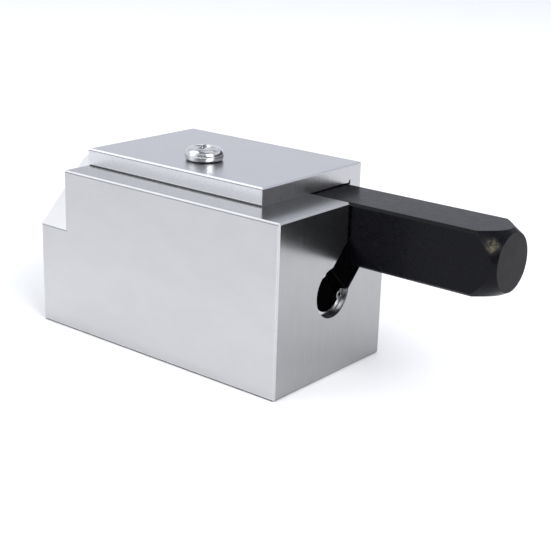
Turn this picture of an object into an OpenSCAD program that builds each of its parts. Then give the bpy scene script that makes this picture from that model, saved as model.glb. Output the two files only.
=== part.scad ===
// Right-angle corner chisel: a square bar slides in the corner of a guide block.
// X runs along the bar, from the cutting end to the struck end. Z is up.
// The origin is the middle of the block's bottom face.

/* [Guide block] */

// Length of the block along the bar
block_l = 57; // [50:1:70]
// Width of the block, front to back
block_w = 30.2; // [29:0.1:34]
// Height of the block
block_h = 30.4; // [29:0.1:34]
// Length of the stepped nose at the cutting end
nose_l = 7; // [4:0.5:8]
// Height at which the nose starts to slope
nose_floor = 19; // [17:0.5:21]
// Flat broken along each sharp edge of the block
edge_break = 0.3; // [0.15:0.05:0.5]

/* [Bar channel and keyway] */

// Clear space between the bar and the channel walls
channel_gap = 0.5; // [0.3:0.05:0.8]
// Clear space between the bar and the guide angle
angle_gap = 0.2; // [0.15:0.05:0.4]
// Radius of the round bore below the channel
bore_r = 4.5; // [4.5:0.1:4.8]
// Distance of the bore centre from the channel corner, along Y and Z
bore_offset = 3.5; // [3.3:0.1:3.7]
// Width of the diagonal slot that joins the bore and the channel
slot_w = 6.8; // [6:0.1:7]
// Wall left at the closed end of the bore
bore_end_wall = 9; // [8:0.5:12]

/* [Guide angle] */

// Thickness of the top leg
top_leg_t = 3.2; // [2.8:0.1:4]
// Thickness of the back leg
back_leg_t = 3.8; // [2.8:0.1:4]
// Distance from the block's front to the top leg's free edge
leg_inset = 5.8; // [5:0.1:7]
// Distance from the struck end of the block to the angle
angle_setback = 8.4; // [7:0.1:10]
// Depth of the relief groove in the inside corner
relief = 0.4; // [0.3:0.05:0.6]

/* [Screws] */

// Radius of the screw head
head_r = 3.5; // [3.2:0.1:3.8]
// Height of the screw head
head_h = 2.5; // [2.2:0.1:2.6]
// Radius of the screw shank
shank_r = 1.75; // [1.5:0.05:2]
// Length of the screw below its head
shank_l = 10; // [8:0.5:10]
// Distance of the screw from the cutting end
screw_x = 28; // [26:0.5:30]
// Distance of each screw from the block's front or bottom face
screw_in = 14.4; // [13.5:0.1:14.6]

/* [Chisel bar] */

// Side of the square bar
bar_side = 10.9; // [10:0.1:11]
// Distance of the cutting edge from the end of the nose
bar_start = 0.5; // [0:0.5:2]
// Length of bar standing out of the struck end
bar_proud = 27.9; // [22:0.1:32]
// Length of the coned part at the struck end
crown_l = 4.7; // [3:0.1:5.5]
// Radius of the round struck face
crown_r = 5; // [4.6:0.05:5.4]
// Flat broken along each long edge of the bar
bar_break = 0.45; // [0.2:0.05:0.6]
// Length of each ground bevel at the cutting end
bevel_l = 18; // [14:1:22]

/* [Return gear] */

// Length of the round slug on the key
slug_l = 16; // [12:1:16]
// Radius of the round slug on the key
slug_r = 4.45; // [4.4:0.01:4.45]
// Width of the key's web
web_w = 6.4; // [5.6:0.1:6.4]
// Radius of the pin that holds the key to the bar
pin_r = 1.5; // [1.2:0.1:1.8]
// Radius of the spring wire
wire_r = 0.45; // [0.35:0.05:0.5]
// Number of turns in the spring
spring_turns = 10; // [8:1:14]
// Thickness of the retaining ring
ring_t = 1; // [0.8:0.1:1.2]

/* [Hidden] */

$fn = 96;
eps = 0.01;
past = 5;
root2 = sqrt(2);
ring_fit = 0.05;
pin_fit = 0.02;
thread_fit = 0.05;

chan_y = block_w - angle_gap - bar_side - channel_gap;
chan_z = block_h - angle_gap - bar_side - channel_gap;
bar_y = chan_y + channel_gap;
bar_z = chan_z + channel_gap;
bore_y = chan_y - bore_offset;
bore_z = chan_z - bore_offset;
bore_l = block_l - bore_end_wall;
bar_end = block_l + bar_proud;
bar_l = bar_end - bar_start;
corner_d = root2 * (bar_y - bore_y);
angle_end = block_l - angle_setback;

ring_lip = 1.1;
ring_x = block_l - ring_lip - ring_t;
groove_r = bore_r + 0.45;
ring_outer = groove_r - ring_fit;
ring_inner = bore_r - 0.85;
ring_open = 52;
ear_turn = 16;
nose_d = 2.6;
ear_r = 0.85;
ear_hole_r = 0.35;
slug_end = ring_x - 2 * ring_fit;
slug_start = slug_end - slug_l;
web_end = block_l - 0.3;
web_start = slug_start + 1;
spring_r = bore_r - wire_r - 0.3;
spring_start = bore_end_wall + ring_fit;
spring_l = slug_start - spring_start - ring_fit;
pitch = (spring_l - 2 * wire_r) / spring_turns;

dome_r = (head_r * head_r) / (2 * (head_h - 0.9)) + (head_h - 0.9) / 2;
cross_l = 4.2;
cross_w = 0.9;
cross_d = 1.7;
cross_tip = 1.4;

block_colour = [0.80, 0.81, 0.83];
angle_colour = [0.74, 0.75, 0.79];
screw_colour = [0.83, 0.84, 0.85];
bar_colour = [0.12, 0.12, 0.13];
key_colour = [0.15, 0.15, 0.16];
pin_colour = [0.62, 0.63, 0.65];
spring_colour = [0.70, 0.71, 0.73];

// Everything is drawn from the block's front, cutting-end, bottom corner.
module placed() {
    translate([-block_l / 2, -block_w / 2, 0]) children();
}

// A rectangle with its four corners cut at 45 degrees.
module cut_rect(w, h, c) {
    polygon([[c, 0], [w - c, 0], [w, c], [w, h - c], [w - c, h], [c, h], [0, h - c], [0, c]]);
}

// A box with all twelve edges broken.
module broken_box(l, w, h, c) {
    intersection() {
        linear_extrude(h) cut_rect(l, w, c);
        translate([0, w, 0]) rotate([90, 0, 0]) linear_extrude(w) cut_rect(l, h, c);
        rotate([90, 0, 90]) linear_extrude(l) cut_rect(w, h, c);
    }
}

// Places its children with +X along the diagonal, from the bore centre to the bar.
module on_diagonal(x) {
    translate([x, bore_y, bore_z]) rotate([45, 0, 0]) rotate([0, 0, 90]) children();
}

// A cylinder lying along the bar.
module along_bar(x, l, r) {
    translate([x, bore_y, bore_z]) rotate([0, 90, 0]) cylinder(h = l, r = r);
}

// The two corners of the nose that are cut away at 45 degrees.
module nose_cuts() {
    rise = block_h - nose_floor + past;
    rotate([90, 0, 90]) {
        translate([0, 0, -past]) {
            linear_extrude(nose_l + past)
                polygon([[-past, nose_floor - past], [rise, nose_floor + rise], [-past, nose_floor + rise]]);
            linear_extrude(nose_l + past)
                polygon([[nose_floor - past, -past], [nose_floor + rise, rise], [nose_floor + rise, -past]]);
        }
    }
}

module guide_block() {
    color(block_colour) placed() difference() {
        broken_box(block_l, block_w, block_h, edge_break);
        translate([-past, chan_y, chan_z]) cube([block_l + 2 * past, block_w, block_h]);
        along_bar(bore_end_wall, bore_l + past, bore_r);
        on_diagonal(bore_end_wall) translate([0, -bore_l - past, -slot_w / 2])
            cube([corner_d + slot_w / 2, bore_l + past, slot_w]);
        along_bar(ring_x - ring_fit, ring_t + 2 * ring_fit, groove_r);
        nose_cuts();
        translate([screw_x, screw_in, block_h - shank_l])
            cylinder(h = shank_l + past, r = shank_r + thread_fit);
        translate([screw_x, block_w + past, screw_in]) rotate([90, 0, 0])
            cylinder(h = shank_l + past, r = shank_r + thread_fit);
    }
}

// The outline of the angle, seen from the cutting end.
module angle_outline() {
    top = block_h + top_leg_t;
    back = block_w + back_leg_t;
    c = edge_break;
    polygon([
        [leg_inset + c, block_h], [block_w, block_h], [block_w, block_h + relief],
        [block_w + relief, block_h + relief], [block_w + relief, block_h - relief],
        [block_w, block_h - relief], [block_w, leg_inset + c], [block_w + c, leg_inset],
        [back - c, leg_inset], [back, leg_inset + c], [back, top - c], [back - c, top],
        [leg_inset + c, top], [leg_inset, top - c], [leg_inset, block_h + c]
    ]);
}

module guide_angle() {
    top = block_h + top_leg_t;
    back = block_w + back_leg_t;
    color(angle_colour) placed() difference() {
        intersection() {
            translate([nose_l, 0, 0]) rotate([90, 0, 90])
                linear_extrude(angle_end - nose_l) angle_outline();
            translate([nose_l, 0, 0]) broken_box(angle_end - nose_l, back, top, edge_break);
        }
        translate([screw_x, screw_in, block_h - past])
            cylinder(h = top_leg_t + 2 * past, r = shank_r + thread_fit);
        translate([screw_x, back + past, screw_in]) rotate([90, 0, 0])
            cylinder(h = back_leg_t + 2 * past, r = shank_r + thread_fit);
    }
}

// One wing of the cross recess, narrower at the bottom.
module cross_wing() {
    translate([0, cross_w / 2, 0]) rotate([90, 0, 0]) linear_extrude(cross_w)
        polygon([[-cross_l / 2, eps], [cross_l / 2, eps], [cross_tip / 2, -cross_d], [-cross_tip / 2, -cross_d]]);
}

// A pan-head screw standing on its head's underside, pointing down.
module pan_screw() {
    difference() {
        union() {
            intersection() {
                cylinder(h = head_h, r = head_r);
                translate([0, 0, head_h - dome_r]) sphere(r = dome_r);
            }
            translate([0, 0, -shank_l]) cylinder(h = shank_l + eps, r = shank_r);
        }
        translate([0, 0, head_h]) {
            cross_wing();
            rotate([0, 0, 90]) cross_wing();
        }
    }
}

module angle_screws() {
    color(screw_colour) placed() {
        translate([screw_x, screw_in, block_h + top_leg_t]) rotate([0, 0, 20]) pan_screw();
        translate([screw_x, block_w + back_leg_t, screw_in]) rotate([-90, 0, 0])
            rotate([0, 0, 65]) pan_screw();
    }
}

// The plain square bar, before either end is ground.
module bar_blank() {
    translate([bar_start, bar_y, bar_z]) rotate([90, 0, 90])
        linear_extrude(bar_l) cut_rect(bar_side, bar_side, bar_break);
}

// The space in front of both bevels; what is left ends in two cutting edges at a right angle.
module bevel_space() {
    tip = bar_start - eps;
    far = bevel_l + bar_start;
    intersection() {
        translate([0, bar_y + bar_side + past, 0]) rotate([90, 0, 0])
            linear_extrude(bar_side + 2 * past)
                polygon([[-past, bar_z - past], [far + past, bar_z - past], [far, bar_z],
                         [tip, bar_z + bar_side - bar_break], [-past, bar_z + bar_side - bar_break]]);
        translate([0, 0, bar_z - past]) linear_extrude(bar_side + 2 * past)
            polygon([[-past, bar_y - past], [far + past, bar_y - past], [far, bar_y],
                     [tip, bar_y + bar_side - bar_break], [-past, bar_y + bar_side - bar_break]]);
    }
}

module chisel_bar() {
    wide = bar_side * root2 / 2;
    slope = (wide - crown_r) / crown_l;
    color(bar_colour) placed() difference() {
        intersection() {
            bar_blank();
            translate([bar_start - past, bar_y + bar_side / 2, bar_z + bar_side / 2]) rotate([0, 90, 0])
                union() {
                    cylinder(h = bar_l + past - crown_l, r = wide + 1);
                    translate([0, 0, bar_l + past - crown_l - 1])
                        cylinder(h = crown_l + 1, r1 = wide + slope, r2 = crown_r);
                }
        }
        bevel_space();
        on_diagonal((web_start + web_end) / 2) translate([-past, 0, 0]) rotate([0, 90, 0])
            cylinder(h = corner_d + 2 * past, r = pin_r + pin_fit);
    }
}

// A stretch of the key's web, from a given distance off the bore's centre line.
module web_piece(from_x, to_x, from_d) {
    on_diagonal(from_x) translate([from_d, from_x - to_x, -web_w / 2])
        cube([corner_d + web_w / 2 - from_d, to_x - from_x, web_w]);
}

module bar_key() {
    color(key_colour) placed() difference() {
        union() {
            along_bar(slug_start, slug_l, slug_r);
            difference() {
                union() {
                    web_piece(web_start, slug_end, 0);
                    web_piece(slug_end - 1, web_end, nose_d);
                }
                translate([0, bar_y, bar_z]) cube([bar_end, bar_side, bar_side]);
            }
        }
        on_diagonal((web_start + web_end) / 2) translate([-past, 0, 0]) rotate([0, 90, 0])
            cylinder(h = corner_d + 4 * past, r = pin_r + pin_fit);
    }
}

module key_pin() {
    tail = slug_r - 0.6;
    color(pin_colour) placed() on_diagonal((web_start + web_end) / 2)
        translate([-tail, 0, 0]) rotate([0, 90, 0]) cylinder(h = tail + corner_d + past - 0.1, r = pin_r);
}

// The shape that a level plane cuts from one round wire of the coil.
module wire_slice() {
    half = 360 * wire_r / pitch;
    steps = 3;
    outer = [for (i = [-steps:steps]) let (a = half * sin(90 * i / steps))
        (spring_r + wire_r * cos(90 * i / steps)) * [cos(a), sin(a)]];
    inner = [for (i = [steps - 1:-1:1 - steps]) let (a = half * sin(90 * i / steps))
        (spring_r - wire_r * cos(90 * i / steps)) * [cos(a), sin(a)]];
    polygon(concat(outer, inner));
}

module return_spring() {
    color(spring_colour) placed() translate([spring_start, bore_y, bore_z]) rotate([0, 90, 0])
        linear_extrude(height = spring_l, twist = -360 * spring_turns, slices = 14 * spring_turns, $fn = 12)
            wire_slice();
}

// The ring's mouth faces the bar, so that the web can pass through it.
module retaining_ring() {
    reach = 2 * groove_r;
    ear_at = ring_inner + 0.2;
    color(spring_colour) placed() translate([ring_x, bore_y, bore_z]) rotate([90, 0, 90])
        linear_extrude(ring_t) difference() {
            union() {
                difference() {
                    circle(r = ring_outer);
                    circle(r = ring_inner);
                    polygon([[0, 0], reach * [cos(45 - ring_open), sin(45 - ring_open)], [reach, reach],
                             reach * [cos(45 + ring_open), sin(45 + ring_open)]]);
                }
                for (side = [-1, 1]) rotate(45 + side * (ring_open + ear_turn)) translate([ear_at, 0]) circle(r = ear_r);
            }
            for (side = [-1, 1]) rotate(45 + side * (ring_open + ear_turn)) translate([ear_at, 0]) circle(r = ear_hole_r);
        }
}

guide_block();
guide_angle();
angle_screws();
chisel_bar();
bar_key();
key_pin();
return_spring();
retaining_ring();
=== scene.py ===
"""Right-angle corner chisel: a black square bar in the corner of a bright guide block.

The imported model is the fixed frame. Every finish is made from shader nodes, and the screws and
the return spring are rebuilt here as finer meshes. Sizes named _mm are in millimetres, and the
other lengths are in metres.
"""

import logging
import math
from dataclasses import dataclass
from enum import Enum

import bmesh
import bpy
from mathutils import Matrix, Vector


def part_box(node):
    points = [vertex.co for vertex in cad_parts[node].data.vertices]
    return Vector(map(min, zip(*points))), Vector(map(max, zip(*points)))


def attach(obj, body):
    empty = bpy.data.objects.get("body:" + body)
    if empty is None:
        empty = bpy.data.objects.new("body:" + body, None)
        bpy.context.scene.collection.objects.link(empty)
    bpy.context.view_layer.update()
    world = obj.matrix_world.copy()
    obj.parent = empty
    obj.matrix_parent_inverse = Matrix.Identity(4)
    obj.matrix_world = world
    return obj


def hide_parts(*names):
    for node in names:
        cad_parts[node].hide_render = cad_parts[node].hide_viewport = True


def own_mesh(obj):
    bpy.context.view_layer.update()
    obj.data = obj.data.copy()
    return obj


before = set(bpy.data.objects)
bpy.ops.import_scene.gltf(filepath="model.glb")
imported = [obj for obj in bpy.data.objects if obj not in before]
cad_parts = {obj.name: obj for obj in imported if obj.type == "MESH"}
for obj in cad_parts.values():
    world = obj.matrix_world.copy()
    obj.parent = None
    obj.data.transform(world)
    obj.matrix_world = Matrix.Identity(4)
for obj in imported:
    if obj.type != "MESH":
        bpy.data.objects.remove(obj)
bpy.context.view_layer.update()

MM = 0.001
GUIDE = "guide"

Colour = tuple[float, float, float]
Point = tuple[float, float, float]
Socket = bpy.types.NodeSocket
Feed = Socket | float | Colour
Span = tuple[float, float]

# A pattern's stretch when it is the same along every axis.
EVEN = (1.0, 1.0, 1.0)
# The values that nearly all of a random pattern lies between.
NOISE_SPAN = (0.3, 0.7)
# The cosines between which a face comes to count as square to an axis.
SQUARE_TO_AXIS = (0.75, 0.95)
# How far the rounded direction leaves the face's own, from outside an edge band to inside it.
EDGE_TURN = (0.004, 0.09)
# The share of open air over a point, from deep in a hollow to an open face.
SHUT_IN = (0.14, 0.6)
# How far off the metal still shuts a point in, on the larger pieces.
HOLLOW_REACH_MM = 5.0
# Rays for each look at the edges and hollows.
EDGE_SAMPLES = 6
SOFT_SAMPLES = 8
HOLLOW_SAMPLES = 8

log = logging.getLogger("corner_chisel")


class Grain(Enum):
    """How a face's fine scratches are drawn out."""

    ALONG_BAR = (0.035, 1.0, 1.0)
    UPRIGHT = (1.0, 1.0, 0.05)


class MaterialSlot(Enum):
    """The record's material slots."""

    BLOCK = "block_aluminium"
    ANGLE = "angle_aluminium"
    SCREW = "plated_screw"
    BLACK = "black_steel"
    BRIGHT = "bright_steel"


@dataclass(frozen=True)
class Pattern:
    """A soft random pattern between 0 and 1, drawn out along an axis where stretch is small."""

    per_mm: float
    octaves: float
    octave_strength: float
    stretch: Point = EVEN
    shift: Point = (0.0, 0.0, 0.0)


class Shader:
    """One material's node tree, with short calls that add nodes and link them."""

    def __init__(self, name: str) -> None:
        """Starts an empty tree that ends in a Principled shader.

        Args:
            name: The material's name.
        """
        self.material = bpy.data.materials.new(name)
        self.material.use_nodes = True
        self.tree = self.material.node_tree
        self.tree.nodes.clear()
        output = self.add("ShaderNodeOutputMaterial")
        self.surface = self.add("ShaderNodeBsdfPrincipled")
        self.tree.links.new(self.surface.outputs["BSDF"], output.inputs["Surface"])

    def add(self, kind: str, **settings: str | int | bool) -> bpy.types.Node:
        """Adds one node.

        Args:
            kind: The node's type name.
            settings: Properties to set on the node.

        Returns:
            The new node.
        """
        node = self.tree.nodes.new(kind)
        for key, value in settings.items():
            setattr(node, key, value)
        return node

    def feed(self, socket: Socket, value: Feed) -> None:
        """Links a socket to another one, or sets its plain value.

        Args:
            socket: The input socket.
            value: An output socket, a number or a colour.
        """
        if isinstance(value, bpy.types.NodeSocket):
            self.tree.links.new(value, socket)
        elif isinstance(value, tuple) and len(socket.default_value) == 4:
            socket.default_value = (*value, 1.0)
        else:
            socket.default_value = value

    def math(self, operation: str, a: Feed, b: Feed = 0.0, clamp: bool = False) -> Socket:
        """Combines two numbers.

        Args:
            operation: The Math node's operation.
            a: The first number.
            b: The second number.
            clamp: Whether the result is held between 0 and 1.

        Returns:
            The result's socket.
        """
        node = self.add("ShaderNodeMath", operation=operation, use_clamp=clamp)
        self.feed(node.inputs[0], a)
        self.feed(node.inputs[1], b)
        return node.outputs[0]

    def plus(self, a: Feed, b: Feed) -> Socket:
        """Adds two numbers and returns the sum's socket."""
        return self.math("ADD", a, b)

    def times(self, a: Feed, b: Feed, clamp: bool = False) -> Socket:
        """Multiplies two numbers and returns the product's socket."""
        return self.math("MULTIPLY", a, b, clamp)

    def rest(self, share: Socket) -> Socket:
        """Takes a share from 1 and returns what is left."""
        return self.math("SUBTRACT", 1.0, share)

    def place_mm(self, stretch: Point = EVEN, shift: Point = (0.0, 0.0, 0.0)) -> Socket:
        """The point on the piece, in millimetres of the row frame, stretched along each axis.

        Args:
            stretch: Scale along X, Y and Z.
            shift: Moves the point, in stretched millimetres.

        Returns:
            The vector's socket.
        """
        node = self.add("ShaderNodeMapping", vector_type="POINT")
        self.tree.links.new(self.add("ShaderNodeTexCoord").outputs["Object"], node.inputs["Vector"])
        node.inputs["Scale"].default_value = tuple(s / MM for s in stretch)
        node.inputs["Location"].default_value = shift
        return node.outputs["Vector"]

    def noise(self, pattern: Pattern) -> Socket:
        """Draws a random pattern on the piece.

        Args:
            pattern: The pattern.

        Returns:
            The pattern's socket.
        """
        node = self.add("ShaderNodeTexNoise", noise_dimensions="3D")
        self.tree.links.new(self.place_mm(pattern.stretch, pattern.shift), node.inputs["Vector"])
        node.inputs["Scale"].default_value = pattern.per_mm
        node.inputs["Detail"].default_value = pattern.octaves
        node.inputs["Roughness"].default_value = pattern.octave_strength
        return node.outputs["Fac"]

    def spread(
        self, value: Socket, low: float, high: float, to_low: float = 0.0, to_high: float = 1.0
    ) -> Socket:
        """Maps a range smoothly onto another, and holds it there.

        Args:
            value: The number's socket.
            low: The value that gives to_low.
            high: The value that gives to_high.
            to_low: The lowest result.
            to_high: The highest result.

        Returns:
            The result's socket.
        """
        node = self.add("ShaderNodeMapRange", interpolation_type="SMOOTHSTEP")
        self.tree.links.new(value, node.inputs["Value"])
        ends = {"From Min": low, "From Max": high, "To Min": to_low, "To Max": to_high}
        for key, number in ends.items():
            node.inputs[key].default_value = number
        return node.outputs["Result"]

    def ripple(self, noise: Socket, low: float, high: float) -> Socket:
        """Maps a random pattern onto a range and returns the result's socket."""
        return self.spread(noise, *NOISE_SPAN, low, high)

    def slide(self, share: Socket, start: float, end: float) -> Socket:
        """Goes from start to end as a share goes from 0 to 1 and returns the result's socket."""
        return self.spread(share, 0.0, 1.0, start, end)

    def sides(self, direction: Socket) -> bpy.types.Node:
        """Splits a direction or a point into X, Y and Z.

        Args:
            direction: The socket of the direction or the point.

        Returns:
            The node with the three outputs.
        """
        split = self.add("ShaderNodeSeparateXYZ")
        self.tree.links.new(direction, split.inputs[0])
        return split

    def own_normal(self) -> bpy.types.Node:
        """Splits the way each face looks into X, Y and Z and returns the node that does it."""
        return self.sides(self.add("ShaderNodeTexCoord").outputs["Normal"])

    def blend(self, share: Feed, a: Feed, b: Feed) -> Socket:
        """Mixes two colours.

        Args:
            share: How much of the second colour shows.
            a: The first colour.
            b: The second colour.

        Returns:
            The mixed colour's socket.
        """
        node = self.add("ShaderNodeMix", data_type="RGBA", blend_type="MIX")
        self.feed(node.inputs[0], share)
        self.feed(node.inputs[6], a)
        self.feed(node.inputs[7], b)
        return node.outputs[2]

    def tint(self, colour: Feed, factor: Socket) -> Socket:
        """Makes a colour lighter or darker.

        Args:
            colour: The colour.
            factor: A number near 1.

        Returns:
            The new colour's socket.
        """
        node = self.add("ShaderNodeVectorMath", operation="SCALE")
        self.feed(node.inputs[0], colour)
        self.tree.links.new(factor, node.inputs["Scale"])
        return node.outputs[0]

    def facing(self, axis: str) -> Socket:
        """How squarely the face looks along one axis, either way.

        Args:
            axis: "X", "Y" or "Z".

        Returns:
            A number's socket, 1 where the face is square to the axis.
        """
        turn = self.math("ABSOLUTE", self.own_normal().outputs[axis])
        return self.spread(turn, *SQUARE_TO_AXIS)

    def rounded(self, radius_mm: float, samples: int) -> Socket:
        """The way each point faces, with the edges rounded off.

        Args:
            radius_mm: Radius of the rounding.
            samples: Number of rays that look for edges.

        Returns:
            The direction's socket.
        """
        bevel = self.add("ShaderNodeBevel", samples=samples)
        bevel.inputs["Radius"].default_value = radius_mm * MM
        return bevel.outputs["Normal"]

    def edges(self, radius_mm: float) -> Socket:
        """A band along every outer and inner edge.

        Args:
            radius_mm: Half the band's width.

        Returns:
            A number's socket, 1 on the edge.
        """
        dot = self.add("ShaderNodeVectorMath", operation="DOT_PRODUCT")
        self.tree.links.new(self.rounded(radius_mm, EDGE_SAMPLES), dot.inputs[0])
        self.tree.links.new(self.add("ShaderNodeNewGeometry").outputs["Normal"], dot.inputs[1])
        return self.spread(self.rest(dot.outputs["Value"]), *EDGE_TURN)

    def away(self, at: Socket, centre_mm: Point) -> Socket:
        """Distance of the point on the piece from a fixed one, in millimetres.

        Args:
            at: The point's socket.
            centre_mm: The fixed point.

        Returns:
            The distance's socket.
        """
        node = self.add("ShaderNodeVectorMath", operation="DISTANCE")
        self.tree.links.new(at, node.inputs[0])
        node.inputs[1].default_value = centre_mm
        return node.outputs["Value"]

    def hollows(self, reach_mm: float) -> Socket:
        """How shut in a point is by the metal round it.

        Args:
            reach_mm: How far off the metal still counts.

        Returns:
            A number's socket, 0 on open faces and in plain corners, 1 deep in a bore or a seam.
        """
        node = self.add("ShaderNodeAmbientOcclusion", samples=HOLLOW_SAMPLES)
        node.inputs["Distance"].default_value = reach_mm * MM
        return self.spread(node.outputs["AO"], *SHUT_IN, 1.0, 0.0)

    def emboss(
        self, height: Socket, depth_mm: float, strength: float, radius_mm: float = 0.0
    ) -> None:
        """Gives the surface its fine relief.

        Args:
            height: The relief's height between 0 and 1.
            depth_mm: The relief's depth.
            strength: How much of it shows.
            radius_mm: Radius that softens the sharp edges under it.
        """
        bump = self.add("ShaderNodeBump")
        bump.inputs["Strength"].default_value = strength
        bump.inputs["Distance"].default_value = depth_mm * MM
        self.tree.links.new(height, bump.inputs["Height"])
        if radius_mm:
            self.tree.links.new(self.rounded(radius_mm, EDGE_SAMPLES), bump.inputs["Normal"])
        self.tree.links.new(bump.outputs["Normal"], self.surface.inputs["Normal"])

    def dress(self, colour: Feed, roughness: Feed, metallic: Feed) -> bpy.types.Material:
        """Sets the main sockets.

        Args:
            colour: The base colour.
            roughness: The roughness.
            metallic: 1 for bare metal, 0 for a coated face.

        Returns:
            The finished material.
        """
        self.feed(self.surface.inputs["Base Color"], colour)
        self.feed(self.surface.inputs["Roughness"], roughness)
        self.feed(self.surface.inputs["Metallic"], metallic)
        return self.material


@dataclass(frozen=True)
class BrushedAluminium:
    """Machined aluminium: fine scratches, a faint mottle, painted edge highlights, sawn ends
    darkened partly as painted shade, painted shade in hollows.
    """

    name: str
    tone: Colour
    # Sawn end faces: their own finish, darkened partly as painted shade.
    sawn_end_and_shade_tone: Colour
    # Painted highlight on the broken edges.
    edge_highlight_tone: Colour = (0.76, 0.76, 0.78)
    # A pale painted highlight lip above the lower edges and a dark painted shade line below the
    # upper edges, on faces square to Y.
    highlight_lip_tone: Colour = (0.95, 0.95, 0.96)
    highlight_lip_share: float = 0.9
    shade_line_tone: Colour = (0.12, 0.12, 0.13)
    # Painted shade in hollows and seams, partly spared on top faces.
    hollow_shade_tone: Colour = (0.016, 0.016, 0.016)
    top_shade_spared: float = 0.8
    # Painted shade on the wall of the spring bore, ringed along its length.
    bore_shade_tone: Colour = (0.27, 0.27, 0.27)
    bore_r_mm: float = 0.0
    bore_fade_mm: Span = (-0.02, 0.03)
    ring_span: Span = (0.35, 0.65)
    ring_tones: Span = (0.3, 2.2)
    roughness: float = 0.34
    top_roughness: float = 0.2
    end_roughness: float = 0.22
    speck_roughness: float = 0.015
    streak_roughness: float = 0.6
    top_shade: float = 1.0
    foot_glow: float = 0.0
    glow_top_mm: float = 30.0
    mottle: float = 0.015
    scratch: float = 0.02
    end_scratch: float = 0.035
    scratch_span: Span = (0.25, 0.75)
    scratch_depth_mm: float = 0.003
    speck_height: float = 0.12
    relief: float = 0.3
    edge_mm: float = 0.3
    rim_mm: float = 0.25
    rim_start: Span = (0.72, 0.85)
    rim_stop: Span = (0.985, 0.998)
    rim_lean: Span = (0.02, 0.08)
    nick_span: Span = (0.32, 0.5)
    nick_tone: float = 0.2
    side_lines: Pattern = Pattern(8.0, 4.0, 0.6, Grain.ALONG_BAR.value)
    end_lines: Pattern = Pattern(3.0, 5.0, 0.65, Grain.UPRIGHT.value)
    cloud: Pattern = Pattern(0.25, 4.0, 0.6, (0.5, 1.0, 1.0))
    speck: Pattern = Pattern(6.0, 2.0, 0.7)
    nicks: Pattern = Pattern(0.9, 5.0, 0.65)
    bore_rings: Pattern = Pattern(4.0, 4.0, 0.7, (1.0, 0.15, 0.15))

    def polish_edges(self, s: Shader, colour: Socket, flat: Socket) -> Socket:
        """Paints a highlight on the broken edges, and beside them a dark painted shade line and a
        pale painted highlight lip.

        Args:
            s: The material's nodes.
            colour: The colour so far.
            flat: 1 on the faces that are square to an axis.

        Returns:
            The new colour's socket.
        """
        nicks = s.spread(s.noise(self.nicks), *self.nick_span, self.nick_tone, 1.0)
        # Painted highlight on the broken edges, broken up by nicks.
        bright = s.times(s.times(s.edges(self.edge_mm), s.rest(flat)), nicks)
        colour = s.blend(bright, colour, self.edge_highlight_tone)
        soft = s.sides(s.rounded(self.rim_mm, SOFT_SAMPLES))
        turn = s.math("ABSOLUTE", soft.outputs["Y"])
        rim = s.times(
            s.spread(turn, *self.rim_start), s.spread(turn, *self.rim_stop, 1.0, 0.0)
        )
        # The dark painted shade line below the upper edges.
        upper = s.times(rim, s.spread(soft.outputs["Z"], *self.rim_lean))
        colour = s.blend(upper, colour, self.shade_line_tone)
        least, most = self.rim_lean
        # The pale painted highlight lip above the lower edges.
        lower = s.times(rim, s.spread(soft.outputs["Z"], -most, -least, 1.0, 0.0))
        return s.blend(s.times(lower, self.highlight_lip_share), colour, self.highlight_lip_tone)

    def turn_bore(self, s: Shader, colour: Socket, end: Socket) -> Socket:
        """Gives the wall of the spring bore a darker, ringed tone as painted shade.

        Args:
            s: The material's nodes.
            colour: The colour so far.
            end: 1 on the end faces.

        Returns:
            The new colour's socket.
        """
        low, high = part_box("return_spring")
        axis = (0.0, (low.y + high.y) / 2 / MM, (low.z + high.z) / 2 / MM)
        off_axis = s.away(s.place_mm((0.0, 1.0, 1.0)), axis)
        fade = (self.bore_r_mm + step for step in self.bore_fade_mm)
        wall = s.spread(off_axis, *fade, 1.0, 0.0)
        rings = s.spread(s.noise(self.bore_rings), *self.ring_span, *self.ring_tones)
        return s.blend(s.times(wall, s.rest(end)), colour, s.tint(self.bore_shade_tone, rings))

    def make(self) -> bpy.types.Material:
        """Builds the material.

        Returns:
            The finished material.
        """
        s = Shader(self.name)
        end, front, top = (s.facing(axis) for axis in "XYZ")
        side_lines, end_lines = s.noise(self.side_lines), s.noise(self.end_lines)
        speck = s.noise(self.speck)
        scuff = s.spread(side_lines, *self.scratch_span, -self.scratch, self.scratch)
        end_scuff = s.spread(end_lines, *self.scratch_span, -self.end_scratch, self.end_scratch)
        streaks = s.plus(s.times(scuff, s.rest(end)), s.times(end_scuff, end))
        mottle = s.ripple(s.noise(self.cloud), 1.0 - self.mottle, 1.0 + self.mottle)
        shade = s.times(s.plus(mottle, streaks), s.slide(top, 1.0, self.top_shade))
        height = s.sides(s.place_mm()).outputs["Z"]
        glow = s.spread(height, 0.0, self.glow_top_mm, self.foot_glow, -self.foot_glow)
        shade = s.plus(shade, s.times(glow, front))
        # End faces take the darker end tone, partly painted shade.
        colour = s.tint(s.blend(end, self.tone, self.sawn_end_and_shade_tone), shade)
        flat = s.math("MAXIMUM", s.math("MAXIMUM", front, end), top)
        colour = self.polish_edges(s, colour, flat)
        if self.bore_r_mm:
            colour = self.turn_bore(s, colour, end)
        # Painted shade where the metal shuts a point in, less on top faces.
        shut = s.times(s.hollows(HOLLOW_REACH_MM), s.rest(s.times(top, self.top_shade_spared)))
        colour = s.blend(shut, colour, self.hollow_shade_tone)
        rough = s.plus(
            s.plus(
                s.slide(end, self.roughness, self.end_roughness),
                s.slide(top, 0.0, self.top_roughness - self.roughness),
            ),
            s.plus(
                s.ripple(speck, -self.speck_roughness, self.speck_roughness),
                s.times(streaks, self.streak_roughness),
            ),
        )
        relief = s.plus(s.times(side_lines, s.rest(end)), s.times(end_lines, end))
        relief = s.plus(relief, s.times(speck, self.speck_height))
        s.emboss(relief, self.scratch_depth_mm, self.relief)
        return s.dress(colour, rough, 1.0)


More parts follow.
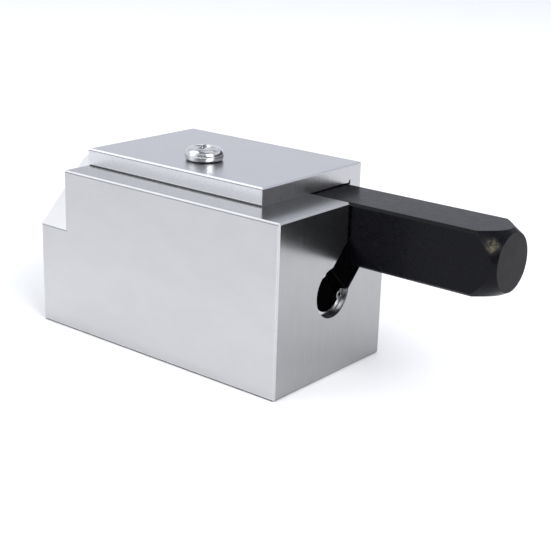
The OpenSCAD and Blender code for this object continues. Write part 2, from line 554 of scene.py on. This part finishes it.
@dataclass(frozen=True)
class BlackOxide:
    """Blackened steel: a thin cool skin, bright ground bevels, and one small rub on the cone."""

    name: str
    skin: Colour = (0.0018, 0.0019, 0.0034)
    end_skin: Colour = (0.0026, 0.0022, 0.0034)
    bare: Colour = (0.014, 0.014, 0.015)
    ground: Colour = (0.46, 0.46, 0.465)
    rub: Colour = (0.13, 0.118, 0.08)
    rub_at_mm: Point = (55.1, 4.7, 28.4)
    rub_r_mm: float = 1.45
    rub_core: float = 0.1
    rub_squat: float = 0.72
    roughness: float = 0.28
    end_rougher: float = 0.16
    fine_roughness: float = 0.03
    gloss: float = 0.12
    edge_mm: float = 0.1
    shut_shade: float = 0.85
    cloud_tones: Span = (0.94, 1.07)
    fine_tone: float = 0.1
    cloud_roughness: Span = (-0.02, 0.03)
    thin_span: Span = (0.36, 0.62)
    thin_shares: Span = (0.1, 0.7)
    worn_span: Span = (0.36, 0.68)
    bevel_start: Span = (0.3, 0.4)
    bevel_stop: Span = (0.85, 0.93)
    wheel_tones: Span = (0.85, 1.12)
    cloud_height: float = 0.3
    relief_depth_mm: float = 0.004
    relief: float = 0.16
    cloud: Pattern = Pattern(0.5, 5.0, 0.6)
    fine: Pattern = Pattern(6.0, 3.0, 0.65, (0.25, 1.0, 1.0))
    scuffs: Pattern = Pattern(1.3, 6.0, 0.75, shift=(9.0, 4.0, 2.0))
    wheel_lines: Pattern = Pattern(7.0, 4.0, 0.65, (1.0, 0.06, 0.06))

    def rub_down(self, s: Shader, colour: Socket) -> Socket:
        """Thins the skin along the edges and rubs one spot on the cone through to the steel.

        Args:
            s: The material's nodes.
            colour: The colour so far.

        Returns:
            The new colour's socket.
        """
        scuffs = s.noise(self.scuffs)
        patchy = s.spread(scuffs, *self.thin_span, *self.thin_shares)
        thin = s.times(s.edges(self.edge_mm), patchy, clamp=True)
        colour = s.blend(thin, colour, self.bare)
        x, y, z = self.rub_at_mm
        point = s.place_mm((1.0, 1.0, self.rub_squat))
        off_spot = s.away(point, (x, y, z * self.rub_squat))
        near = s.spread(off_spot, self.rub_core * self.rub_r_mm, self.rub_r_mm, 1.0, 0.0)
        worn = s.times(near, s.spread(scuffs, *self.worn_span), clamp=True)
        return s.blend(worn, colour, self.rub)

    def make(self) -> bpy.types.Material:
        """Builds the material.

        Returns:
            The finished material.
        """
        s = Shader(self.name)
        cloud, fine, end = s.noise(self.cloud), s.noise(self.fine), s.facing("X")
        lines = s.ripple(fine, -self.fine_tone, self.fine_tone)
        shade = s.plus(s.ripple(cloud, *self.cloud_tones), lines)
        colour = self.rub_down(s, s.tint(s.blend(end, self.skin, self.end_skin), shade))
        colour = s.tint(colour, s.rest(s.times(s.hollows(HOLLOW_REACH_MM), self.shut_shade)))
        slant = s.times(s.own_normal().outputs["X"], -1.0)
        ground = s.times(
            s.spread(slant, *self.bevel_start), s.spread(slant, *self.bevel_stop, 1.0, 0.0)
        )
        wheel = s.ripple(s.noise(self.wheel_lines), *self.wheel_tones)
        colour = s.blend(ground, colour, s.tint(self.ground, wheel))
        rough = s.plus(
            s.ripple(cloud, *(self.roughness + step for step in self.cloud_roughness)),
            s.plus(
                s.ripple(fine, -self.fine_roughness, self.fine_roughness),
                s.times(end, self.end_rougher),
            ),
        )
        relief = s.plus(fine, s.times(cloud, self.cloud_height))
        s.emboss(relief, self.relief_depth_mm, self.relief, self.edge_mm)
        s.surface.inputs["Specular IOR Level"].default_value = self.gloss
        return s.dress(colour, rough, ground)


@dataclass(frozen=True)
class BrightMetal:
    """Plated or drawn steel: glossy, with faint lines, a random haze, painted edge highlights and
    painted shade in the hollows.
    """

    name: str
    tone: Colour
    haze: Colour
    roughness: float = 0.14
    haze_span: Span = (0.35, 0.75)
    haze_roughness: float = 0.06
    line_roughness: Span = (-0.02, 0.03)
    # Painted highlight along the edges.
    edge_highlight_tone: Colour = (0.93, 0.93, 0.93)
    edge_highlight_share: float = 0.6
    edge_mm: float = 0.06
    hollow_reach_mm: float = 3.0
    shut_shade: float = 0.8
    line_depth_mm: float = 0.002
    line_relief: float = 0.25
    soft_mm: float = 0.05
    cloud: Pattern = Pattern(1.1, 4.0, 0.6)
    lines: Pattern = Pattern(9.0, 3.0, 0.6)

    def make(self) -> bpy.types.Material:
        """Builds the material.

        Returns:
            The finished material.
        """
        s = Shader(self.name)
        cloud, lines = s.noise(self.cloud), s.noise(self.lines)
        colour = s.blend(s.spread(cloud, *self.haze_span), self.tone, self.haze)
        # Painted highlight along the edges.
        edge = s.times(s.edges(self.edge_mm), self.edge_highlight_share)
        colour = s.blend(edge, colour, self.edge_highlight_tone)
        # Painted shade in the hollows.
        colour = s.tint(colour, s.rest(s.times(s.hollows(self.hollow_reach_mm), self.shut_shade)))
        rough = s.plus(
            s.ripple(cloud, self.roughness, self.roughness + self.haze_roughness),
            s.ripple(lines, *self.line_roughness),
        )
        s.emboss(lines, self.line_depth_mm, self.line_relief, self.soft_mm)
        return s.dress(colour, rough, 1.0)


@dataclass(frozen=True)
class PaleCard:
    """The matt card that the tool lies on, very slightly uneven in tone."""

    name: str
    tone: Colour = (0.92, 0.92, 0.92)
    roughness: float = 0.9
    fibre_tones: Span = (0.995, 1.005)
    fibre: Pattern = Pattern(0.8, 4.0, 0.6)

    def make(self) -> bpy.types.Material:
        """Builds the material.

        Returns:
            The finished material.
        """
        s = Shader(self.name)
        shade = s.ripple(s.noise(self.fibre), *self.fibre_tones)
        s.surface.inputs["Specular IOR Level"].default_value = 0.0
        return s.dress(s.tint(self.tone, shade), self.roughness, 0.0)


def wear(piece: bpy.types.Object, finish: bpy.types.Material) -> None:
    """Gives a piece one finish all over.

    Args:
        piece: The piece.
        finish: Its material.
    """
    piece.data.materials.clear()
    piece.data.materials.append(finish)


def add_mesh(name: str, mesh: bpy.types.Mesh) -> bpy.types.Object:
    """Puts a mesh into the scene as a new piece.

    Args:
        name: The piece's name.
        mesh: Its mesh, in the row frame.

    Returns:
        The new object.
    """
    piece = bpy.data.objects.new(name, mesh)
    bpy.context.scene.collection.objects.link(piece)
    return piece


def finish_form(name: str, form: bmesh.types.BMesh, turn_outward: bool = True) -> bpy.types.Mesh:
    """Turns a form into a mesh and frees it.

    Args:
        name: The mesh's name.
        form: The form.
        turn_outward: Whether its faces are turned outward first.

    Returns:
        The new mesh.
    """
    if turn_outward:
        bmesh.ops.recalc_face_normals(form, faces=form.faces)
    mesh = bpy.data.meshes.new(name)
    form.to_mesh(mesh)
    form.free()
    return mesh


def lathe(name: str, outline: list[tuple[float, float]], steps: int) -> bpy.types.Mesh:
    """Turns an outline about the Z axis into a closed mesh.

    Args:
        name: The mesh's name.
        outline: (radius, height) points; the first and the last one lie on the axis.
        steps: Number of segments round the axis.

    Returns:
        The new mesh.
    """
    form = bmesh.new()
    top = form.verts.new((0.0, 0.0, outline[0][1]))
    foot = form.verts.new((0.0, 0.0, outline[-1][1]))
    turns = [2 * math.pi * i / steps for i in range(steps)]
    rings = [
        [form.verts.new((r * math.cos(a), r * math.sin(a), z)) for a in turns]
        for r, z in outline[1:-1]
    ]
    for i in range(steps):
        j = (i + 1) % steps
        form.faces.new((top, rings[0][i], rings[0][j]))
        form.faces.new((foot, rings[-1][j], rings[-1][i]))
        for upper, lower in zip(rings, rings[1:]):
            form.faces.new((upper[i], lower[i], lower[j], upper[j]))
    return finish_form(name, form)


def settle(piece: bpy.types.Object) -> None:
    """Applies a piece's modifiers, so that the finished mesh is its own.

    Args:
        piece: The piece.
    """
    bpy.context.view_layer.update()
    ready = piece.evaluated_get(bpy.context.evaluated_depsgraph_get())
    made = bpy.data.meshes.new_from_object(ready)
    piece.modifiers.clear()
    piece.data = made


@dataclass
class GuideBlock:
    """The aluminium block with its stepped nose, bar channel and spring bore."""

    finish: BrushedAluminium = BrushedAluminium(
        "brushed_block_aluminium",
        tone=(0.51, 0.512, 0.518),
        sawn_end_and_shade_tone=(0.375, 0.377, 0.38),
        bore_r_mm=5.0,
        top_shade=0.88,
        foot_glow=0.07,
    )

    def dress(self) -> bpy.types.Object:
        """Gives the block its finish.

        Returns:
            The block.
        """
        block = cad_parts["guide_block"]
        wear(block, self.finish.make())
        return block


@dataclass
class GuideAngle:
    """The L-shaped angle that closes the bar channel."""

    finish: BrushedAluminium = BrushedAluminium(
        "satin_angle_aluminium",
        tone=(0.585, 0.59, 0.605),
        sawn_end_and_shade_tone=(0.48, 0.48, 0.49),
        # Only a light painted shade in the seams of the angle.
        hollow_shade_tone=(0.5, 0.5, 0.5),
        roughness=0.28,
        top_roughness=0.29,
        end_roughness=0.3,
        mottle=0.01,
        scratch=0.012,
        end_scratch=0.045,
    )

    def dress(self) -> bpy.types.Object:
        """Gives the angle its finish.

        Returns:
            The angle.
        """
        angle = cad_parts["guide_angle"]
        wear(angle, self.finish.make())
        return angle


@dataclass
class AngleScrews:
    """Two pan-head screws with cross recesses, one in each leg of the angle."""

    head_r_mm: float = 3.5
    head_h_mm: float = 2.47
    rim_h_mm: float = 0.95
    shoulder_mm: float = 1.35
    crown_mm: float = 0.14
    crown_steps: int = 7
    shoulder_steps: int = 14
    under_mm: tuple[Span, ...] = ((0.02, 0.6), (0.12, 0.3), (0.3, 0.06), (0.45, 0.0))
    shank_r_mm: float = 1.75
    shank_l_mm: float = 10.0
    neck_mm: float = 0.5
    thread_depth_mm: float = 0.3
    thread_pitch_mm: float = 0.7
    thread_end_mm: float = 0.6
    point_l_mm: float = 0.35
    point_in_mm: float = 0.7
    recess_l_mm: float = 4.5
    recess_w_mm: float = 1.15
    recess_d_mm: float = 1.65
    recess_tip_mm: float = 1.5
    recess_flare_mm: float = 0.06
    recess_taper_mm: float = 0.08
    cutter_lift_mm: float = 0.4
    soft_edge_mm: float = 0.06
    soft_edge_deg: float = 35.0
    sharp_deg: float = 38.0
    turns_deg: Span = (20.0, 65.0)
    steps: int = 96
    finish: BrightMetal = BrightMetal(
        "bright_plated_screw", tone=(0.72, 0.725, 0.72), haze=(0.48, 0.49, 0.49), roughness=0.06
    )

    def outline(self) -> list[tuple[float, float]]:
        """The screw's outline from the crown of the head to the tip.

        Returns:
            (radius, height) points in metres, with the head's seat at height 0.
        """
        flat_r = self.head_r_mm - self.shoulder_mm
        points = [(0.0, self.head_h_mm)]
        for i in range(1, self.crown_steps + 1):
            r = flat_r * i / self.crown_steps
            points.append((r, self.head_h_mm - self.crown_mm * (r / flat_r) ** 2))
        low, high = self.rim_h_mm, self.head_h_mm - self.crown_mm
        for i in range(1, self.shoulder_steps + 1):
            a = math.pi / 2 * i / self.shoulder_steps
            r = flat_r + self.shoulder_mm * math.sin(a)
            points.append((r, low + (high - low) * math.cos(a)))
        points += [(self.head_r_mm - inward, z) for inward, z in self.under_mm]
        points += [(self.shank_r_mm, 0.0), (self.shank_r_mm, -self.neck_mm)]
        root_r = self.shank_r_mm - self.thread_depth_mm
        z = -self.neck_mm
        while z - self.thread_pitch_mm > -self.shank_l_mm + self.thread_end_mm:
            points.append((root_r, z - self.thread_pitch_mm / 2))
            points.append((self.shank_r_mm, z - self.thread_pitch_mm))
            z -= self.thread_pitch_mm
        points.append((root_r, -self.shank_l_mm + self.point_l_mm))
        points.append((self.shank_r_mm - self.point_in_mm, -self.shank_l_mm))
        points.append((0.0, -self.shank_l_mm))
        return [(r * MM, z * MM) for r, z in points]

    def recess_cutter(self) -> bpy.types.Object:
        """The cross-shaped space in the head, narrower at the bottom.

        Returns:
            An object that the head is cut with.
        """
        form = bmesh.new()
        slope = (self.recess_l_mm - self.recess_tip_mm) / 2 / self.recess_d_mm
        half_w = self.recess_w_mm / 2
        levels = (
            (
                self.head_h_mm + self.cutter_lift_mm,
                self.recess_l_mm / 2 + self.cutter_lift_mm * slope,
                half_w + self.recess_flare_mm,
            ),
            (
                self.head_h_mm - self.recess_d_mm,
                self.recess_tip_mm / 2,
                half_w - self.recess_taper_mm,
            ),
        )
        for turn in (0.0, math.pi / 2):
            spin = Matrix.Rotation(turn, 3, "Z")
            ends = []
            for z, along, across in levels:
                corners = ((-along, -across), (along, -across), (along, across), (-along, across))
                ends.append([form.verts.new(spin @ Vector((x, y, z)) * MM) for x, y in corners])
            top, low = ends
            form.faces.new(top)
            form.faces.new(low[::-1])
            for i in range(4):
                j = (i + 1) % 4
                form.faces.new((top[i], low[i], low[j], top[j]))
        return add_mesh("cross_recess", finish_form("cross_recess", form))

    def turn_screw(self, name: str) -> bpy.types.Object:
        """Makes one screw, upright with its head's seat at height 0.

        Args:
            name: The screw's name.

        Returns:
            The screw.
        """
        screw = add_mesh(name, lathe(name, self.outline(), self.steps))
        cutter = self.recess_cutter()
        cut = screw.modifiers.new("recess", "BOOLEAN")
        cut.operation, cut.solver, cut.object = "DIFFERENCE", "EXACT", cutter
        cut.use_self = True
        soft = screw.modifiers.new("soft_edges", "BEVEL")
        soft.width, soft.segments, soft.limit_method = self.soft_edge_mm * MM, 2, "ANGLE"
        soft.angle_limit = math.radians(self.soft_edge_deg)
        settle(screw)
        bpy.data.objects.remove(cutter)
        screw.data.name = name
        return screw

    def build(self) -> list[bpy.types.Object]:
        """Makes both screws in place of the plain ones.

        Returns:
            The two screws.
        """
        low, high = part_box("angle_screws")
        head_r = self.head_r_mm * MM
        mid_x = (low.x + high.x) / 2
        angle_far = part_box("guide_angle")[1]
        down = Matrix.Translation((mid_x, low.y + head_r, angle_far.z))
        inward = Matrix.Translation((mid_x, angle_far.y, low.z + head_r))
        inward = inward @ Matrix.Rotation(-math.pi / 2, 4, "X")
        finish = self.finish.make()
        screws = []
        for name, seat, turn in zip(("top_screw", "back_screw"), (down, inward), self.turns_deg):
            screw = self.turn_screw(name)
            screw.data.transform(seat @ Matrix.Rotation(math.radians(turn), 4, "Z"))
            screw.data.shade_smooth()
            screw.data.set_sharp_from_angle(angle=math.radians(self.sharp_deg))
            wear(screw, finish)
            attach(screw, GUIDE)
            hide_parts("angle_screws")
            screws.append(screw)
        return screws


@dataclass
class ChiselBar:
    """The square bar, its key and the pin that joins them."""

    finish: BlackOxide = BlackOxide("black_oxide_bar")
    key_finish: BlackOxide = BlackOxide(
        "black_oxide_key",
        skin=(0.0015, 0.0015, 0.0018),
        end_skin=(0.001, 0.001, 0.0012),
        # The key's lighter bare edges: worn metal, and also a painted highlight arc.
        bare=(0.05, 0.05, 0.052),
        gloss=0.0,
    )
    pin_finish: BrightMetal = BrightMetal(
        "drawn_steel_pin", tone=(0.5, 0.5, 0.51), haze=(0.4, 0.4, 0.41), roughness=0.25
    )

    def dress(self) -> list[bpy.types.Object]:
        """Gives the bar, the key and the pin their finishes.

        Returns:
            The three pieces.
        """
        looks = (
            ("chisel_bar", self.finish, MaterialSlot.BLACK),
            ("bar_key", self.key_finish, MaterialSlot.BLACK),
            ("key_pin", self.pin_finish, MaterialSlot.BRIGHT),
        )
        pieces = []
        for name, finish, slot in looks:
            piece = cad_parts[name]
            wear(piece, finish.make())
            pieces.append(piece)
        return pieces


@dataclass
class ReturnSpring:
    """The coil spring in the closed end of the bore, with closed ends."""

    wire_r_mm: float = 0.45
    open_turns: float = 9.0
    end_turns: float = 1.5
    ring_steps: int = 12
    steps_per_turn: int = 32
    travel_mm: float = 10.0
    end_room: float = 1.02
    coil_room: float = 1.01
    sharp_deg: float = 50.0
    finish: BrightMetal = BrightMetal(
        "drawn_spring_wire", tone=(0.62, 0.63, 0.65), haze=(0.5, 0.5, 0.52), roughness=0.2
    )

    def centre_line(self) -> list[Vector]:
        """The wire's middle line in the row frame.

        Returns:
            Points from one end to the other.
        """
        low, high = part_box("return_spring")
        wire = self.wire_r_mm * MM
        mid = (low + high) / 2
        coil_r = (high.y - low.y) / 2 - wire
        turns = self.open_turns + 2 * self.end_turns
        start = low.x + wire * self.end_room
        length = (high.x - low.x) - 2 * wire * self.end_room
        close = self.end_turns * 2 * wire * self.coil_room
        steps = round(turns * self.steps_per_turn)
        points = []
        for i in range(steps + 1):
            t = turns * i / steps
            if t < self.end_turns:
                x = close * t / self.end_turns
            elif t > turns - self.end_turns:
                x = length - close * (turns - t) / self.end_turns
            else:
                x = close + (length - 2 * close) * (t - self.end_turns) / self.open_turns
            a = 2 * math.pi * t
            y, z = mid.y + coil_r * math.cos(a), mid.z + coil_r * math.sin(a)
            points.append(Vector((start + x, y, z)))
        return points

    def build(self) -> bpy.types.Object:
        """Sweeps the round wire along its line, in place of the plain spring.

        Returns:
            The spring.
        """
        line = self.centre_line()
        low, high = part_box("return_spring")
        axis_y, axis_z = (low.y + high.y) / 2, (low.z + high.z) / 2
        wire = self.wire_r_mm * MM
        turns = [2 * math.pi * k / self.ring_steps for k in range(self.ring_steps)]
        form = bmesh.new()
        rings = []
        for i, at in enumerate(line):
            ahead = (line[min(i + 1, len(line) - 1)] - line[max(i - 1, 0)]).normalized()
            out = Vector((0.0, at.y - axis_y, at.z - axis_z)).normalized()
            side = ahead.cross(out).normalized()
            out = side.cross(ahead)
            spokes = [out * math.cos(a) + side * math.sin(a) for a in turns]
            rings.append([form.verts.new(at + wire * spoke) for spoke in spokes])
        for one, two in zip(rings, rings[1:]):
            for k in range(self.ring_steps):
                m = (k + 1) % self.ring_steps
                form.faces.new((one[k], two[k], two[m], one[m]))
        form.faces.new(rings[0])
        form.faces.new(rings[-1][::-1])
        spring = add_mesh("coil_spring", finish_form("coil_spring", form))
        spring.data.shade_smooth()
        spring.data.set_sharp_from_angle(angle=math.radians(self.sharp_deg))
        wear(spring, self.finish.make())
        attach(spring, GUIDE)
        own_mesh(spring)
        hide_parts("return_spring")
        return spring


@dataclass
class RetainingRing:
    """The open ring near the mouth of the bore."""

    finish: BrightMetal = BrightMetal(
        "bright_spring_steel_ring", tone=(0.68, 0.68, 0.69), haze=(0.3, 0.3, 0.31), roughness=0.12
    )

    def dress(self) -> bpy.types.Object:
        """Gives the ring its finish.

        Returns:
            The ring.
        """
        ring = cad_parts["retaining_ring"]
        wear(ring, self.finish.make())
        return ring


@dataclass(frozen=True)
class SoftLight:
    """One square soft light; mirrored says whether bright metal shows it as a reflection."""

    name: str
    toward: Point
    distance: float
    size: float
    watts: float
    mirrored: bool = True


@dataclass(frozen=True)
class Flag:
    """One dark curved flag; mid_deg is the way to its middle, from +X towards +Y."""

    name: str
    mid_deg: float
    half_deg: float
    height: float
    tone: float


@dataclass
class Studio:
    """The pale floor, the soft lights and the camera."""

    floor_r: float = 0.95
    floor_steps: int = 96
    floor_drop_mm: float = 0.02
    sky_bands: tuple[tuple[float, Colour], ...] = (
        (0.50, (0.96, 0.96, 0.97)),
        (0.54, (0.88, 0.89, 0.93)),
        (0.585, (0.82, 0.84, 0.92)),
        (0.84, (0.80, 0.83, 0.91)),
        (0.92, (0.42, 0.44, 0.48)),
        (1.00, (0.25, 0.26, 0.29)),
    )
    sky_strength: float = 1.0
    aim: Point = (0.01, 0.0, 0.015)
    lights: tuple[SoftLight, ...] = (
        SoftLight("key_light", (-0.55, -0.38, 0.74), 0.9, 0.7, 1.9),
        SoftLight("ceiling_light", (0.05, 0.2, 0.95), 1.3, 0.9, 1.5),
        SoftLight("floor_wash", (0.05, 0.2, 0.95), 2.0, 3.0, 11.5, mirrored=False),
        SoftLight("right_light", (0.78, -0.2, 0.55), 0.9, 0.5, 6.0),
        SoftLight("left_light", (-0.56, -0.78, 0.36), 1.0, 0.6, 0.95),
    )
    flags: tuple[Flag, ...] = (
        Flag("rear_flag", 55.0, 42.0, 0.46, 0.085),
        Flag("front_flag", -51.0, 40.0, 0.72, 0.30),
    )
    flag_distance: float = 1.0
    flag_foot: float = 0.02
    flag_steps: int = 16
    flag_blue: float = 1.05
    lens_mm: float = 76.23
    sensor_mm: float = 36.0
    clip: Span = (0.01, 20.0)
    eye: Point = (0.137054, -0.15214, 0.07993)
    right: Point = (0.77587, 0.63017, 0.0302)
    up: Point = (-0.22077, 0.22635, 0.9487)
    back: Point = (0.591, -0.74274, 0.31474)

    def lay_floor(self) -> bpy.types.Object:
        """Makes the round floor, a hair below the block's foot.

        Returns:
            The floor.
        """
        form = bmesh.new()
        bmesh.ops.create_circle(form, cap_ends=True, segments=self.floor_steps, radius=self.floor_r)
        for corner in form.verts:
            corner.co.z = -self.floor_drop_mm * MM
        floor = add_mesh("pale_floor", finish_form("pale_floor", form, turn_outward=False))
        wear(floor, PaleCard("pale_card").make())
        return floor

    def light_world(self) -> None:
        """Fills the room with soft light in level bands, white at the floor, dark at the top."""
        world = bpy.data.worlds.new("soft_room")
        bpy.context.scene.world = world
        world.use_nodes = True
        tree = world.node_tree
        ramp = tree.nodes.new("ShaderNodeValToRGB")
        stops = ramp.color_ramp.elements
        while len(stops) < len(self.sky_bands):
            stops.new(0.5)
        for stop, (height, colour) in zip(stops, self.sky_bands):
            stop.position = height
            stop.color = (*colour, 1.0)
        split = tree.nodes.new("ShaderNodeSeparateXYZ")
        rise = tree.nodes.new("ShaderNodeMath")
        rise.operation = "MULTIPLY_ADD"
        rise.inputs[1].default_value, rise.inputs[2].default_value = 0.5, 0.5
        way = tree.nodes.new("ShaderNodeTexCoord").outputs["Generated"]
        background = tree.nodes["Background"]
        tree.links.new(way, split.inputs[0])
        tree.links.new(split.outputs["Z"], rise.inputs[0])
        tree.links.new(rise.outputs[0], ramp.inputs[0])
        tree.links.new(ramp.outputs["Color"], background.inputs["Color"])
        background.inputs["Strength"].default_value = self.sky_strength

    def hang_light(self, light: SoftLight) -> None:
        """Hangs one soft light that looks at the tool.

        Args:
            light: The light.
        """
        lamp = bpy.data.lights.new(light.name, "AREA")
        lamp.shape, lamp.size, lamp.energy = "SQUARE", light.size, light.watts
        holder = bpy.data.objects.new(light.name, lamp)
        way = Vector(light.toward).normalized()
        holder.location = way * light.distance + Vector(self.aim)
        holder.rotation_mode = "QUATERNION"
        holder.rotation_quaternion = way.to_track_quat("Z", "Y")
        holder.visible_glossy = light.mirrored
        bpy.context.scene.collection.objects.link(holder)

    def stand_flag(self, flag: Flag) -> None:
        """Stands a dark curved flag round the tool, seen only in the metal's reflections.

        Args:
            flag: The flag.
        """
        form = bmesh.new()
        columns = []
        for i in range(self.flag_steps + 1):
            a = math.radians(flag.mid_deg + flag.half_deg * (2 * i / self.flag_steps - 1))
            foot = Vector((math.cos(a), math.sin(a), 0.0)) * self.flag_distance
            heights = (self.flag_foot, flag.height)
            columns.append([form.verts.new(foot + Vector((0.0, 0.0, z))) for z in heights])
        for one, two in zip(columns, columns[1:]):
            form.faces.new((one[0], two[0], two[1], one[1]))
        sheet = add_mesh(flag.name, finish_form(flag.name, form, turn_outward=False))
        tone = (flag.tone, flag.tone, flag.tone * self.flag_blue)
        wear(sheet, PaleCard(f"{flag.name}_cloth", tone=tone).make())
        sheet.visible_camera = sheet.visible_diffuse = sheet.visible_shadow = False

    def place_camera(self) -> None:
        """Sets the camera at the viewing angle."""
        lens = bpy.data.cameras.new("studio_camera")
        lens.lens, lens.sensor_width, lens.sensor_fit = self.lens_mm, self.sensor_mm, "AUTO"
        lens.clip_start, lens.clip_end = self.clip
        camera = bpy.data.objects.new("studio_camera", lens)
        turn = Matrix((self.right, self.up, self.back)).transposed()
        camera.matrix_world = Matrix.Translation(self.eye) @ turn.to_4x4()
        bpy.context.scene.collection.objects.link(camera)
        bpy.context.scene.camera = camera

    def set_up(self) -> None:
        """Builds the whole studio."""
        self.lay_floor()
        self.light_world()
        for light in self.lights:
            self.hang_light(light)
        for flag in self.flags:
            self.stand_flag(flag)
        self.place_camera()
        bpy.context.scene.view_settings.view_transform = "Standard"


def main() -> None:
    """Builds every sub-assembly in order and reports each piece."""
    logging.basicConfig(level=logging.INFO, format="%(name)s: %(message)s")
    log.info("dressed %s", GuideBlock().dress().name)
    log.info("dressed %s", GuideAngle().dress().name)
    for screw in AngleScrews().build():
        log.info("built %s", screw.name)
    for part in ChiselBar().dress():
        log.info("dressed %s", part.name)
    log.info("built %s", ReturnSpring().build().name)
    log.info("dressed %s", RetainingRing().dress().name)
    Studio().set_up()


if __name__ == "__main__":
    main()
